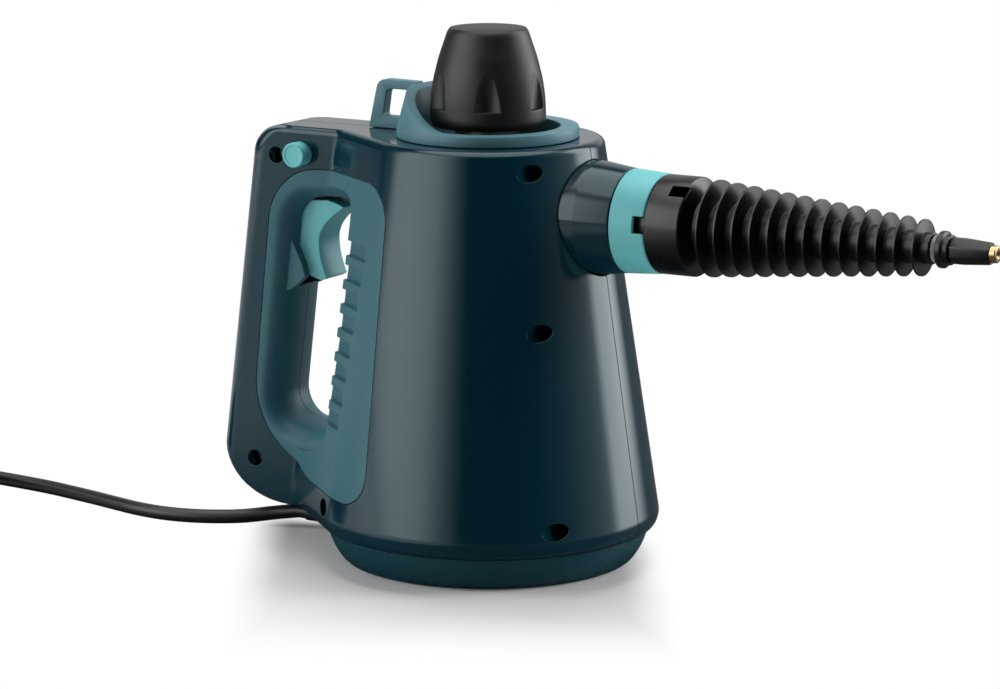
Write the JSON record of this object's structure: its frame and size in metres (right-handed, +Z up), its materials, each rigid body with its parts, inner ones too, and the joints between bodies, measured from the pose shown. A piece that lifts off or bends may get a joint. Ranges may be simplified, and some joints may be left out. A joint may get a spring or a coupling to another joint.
{
  "type": "handheld steam cleaner",
  "caption": "Conical handheld steam cleaner with a rear grip handle, finger trigger, screw filler cap, ribbed turning nozzle and a mains lead lying coiled beside it.",
  "frame": {"origin": "centre of the base cup's underside, on the boiler's axis", "axes": "+Z up along the boiler and cap, +X along the spout, so the handle is at -X and the side with the housing screws at -Y"},
  "size_m": [0.6358, 0.2168, 0.23],
  "materials": {
    "dark_gloss_shell": "dark blue-green gloss",
    "pale_collar": "grey-blue satin",
    "soft_touch_grip": "grey-blue soft touch",
    "light_accent": "light turquoise satin",
    "black_plastic": "black satin",
    "black_rubber": "black",
    "brass": "turned",
    "cast_aluminium": "as cast",
    "steel": "bright drawn",
    "white_ceramic": "off-white",
    "silicone": "red",
    "grey_silicone": "grey",
    "nickel_pin": "plated"
  },
  "bodies": {
    "housing": {"right_shell": "dark_gloss_shell", "left_shell": "dark_gloss_shell", "base_cup": "dark_gloss_shell", "spout_sleeve": "dark_gloss_shell", "bayonet_ring": "light_accent", "collar": "pale_collar", "right_grip_panel": "soft_touch_grip", "left_grip_panel": "soft_touch_grip", "trigger_pin": "steel", "trigger_spring": "steel", "steam_pipe": "steel", "heating_element": "steel", "thermal_fuse": "steel", "housing_screw_1": "steel", "housing_screw_2": "steel", "housing_screw_3": "steel", "housing_screw_4": "steel", "housing_screw_5": "steel", "housing_screw_6": "steel", "boiler": "cast_aluminium", "boiler_neck": "brass", "steam_valve": "brass", "steam_outlet": "brass", "neck_seal": "black_rubber", "cord_gland": "black_rubber", "power_cord": "black_rubber", "cord_coil": "black_rubber", "coil_tie": "black_plastic", "plug_lead": "black_rubber", "plug_body": "black_rubber", "plug_pin_1": "nickel_pin", "plug_pin_2": "nickel_pin", "plug_pin_3": "nickel_pin", "thermostat": "white_ceramic", "terminal_block": "white_ceramic"},
    "trigger": {"trigger": "light_accent"},
    "valve_rod": {"push_rod": "steel", "valve_stem": "steel"},
    "lock_bolt": {"lock_button": "light_accent"},
    "cap_seal": {"cap_gasket": "silicone"},
    "cap": {"cap_knob": "black_plastic", "cap_plug": "brass"},
    "nozzle": {"nozzle_cone": "black_plastic", "lance_tube": "steel", "nozzle_washer": "grey_silicone", "nozzle_flange": "black_plastic", "tip_sheath": "black_plastic", "brass_tip": "brass"}
  },
  "joints": [
    {"name": "trigger_swing", "type": "hinge", "parent": "housing", "child": "trigger", "pos_m": [-0.0955, 0, 0.152], "axis": [0, 1, 0], "range_deg": [0, 9], "stiffness_Nm_per_rad": 0.6, "deforming": ["trigger_spring"]},
    {"name": "valve_push", "type": "slide", "parent": "housing", "child": "valve_rod", "axis": [1, 0, 0], "range_m": [0, 0.0018]},
    {"name": "lock_slide", "type": "slide", "parent": "housing", "child": "lock_bolt", "axis": [0, 1, 0], "range_m": [0, 0.006]},
    {"name": "cap_lift", "type": "slide", "parent": "housing", "child": "cap_seal", "axis": [0, 0, 1], "range_m": [0, 0.009]},
    {"name": "cap_turn", "type": "hinge", "parent": "cap_seal", "child": "cap", "pos_m": [0, 0, 0.187], "axis": [0, 0, 1], "range_deg": [0, 1080]},
    {"name": "nozzle_twist", "type": "hinge", "parent": "housing", "child": "nozzle", "pos_m": [0.0863, 0, 0.1528], "axis": [1, 0, 0], "range_deg": [-30, 0]}
  ],
  "couplings": [
    {"joint": "valve_push", "follows": "trigger_swing", "m_per_rad": 0.011},
    {"joint": "cap_turn", "follows": "cap_lift", "rad_per_m": 2094.4}
  ]
}
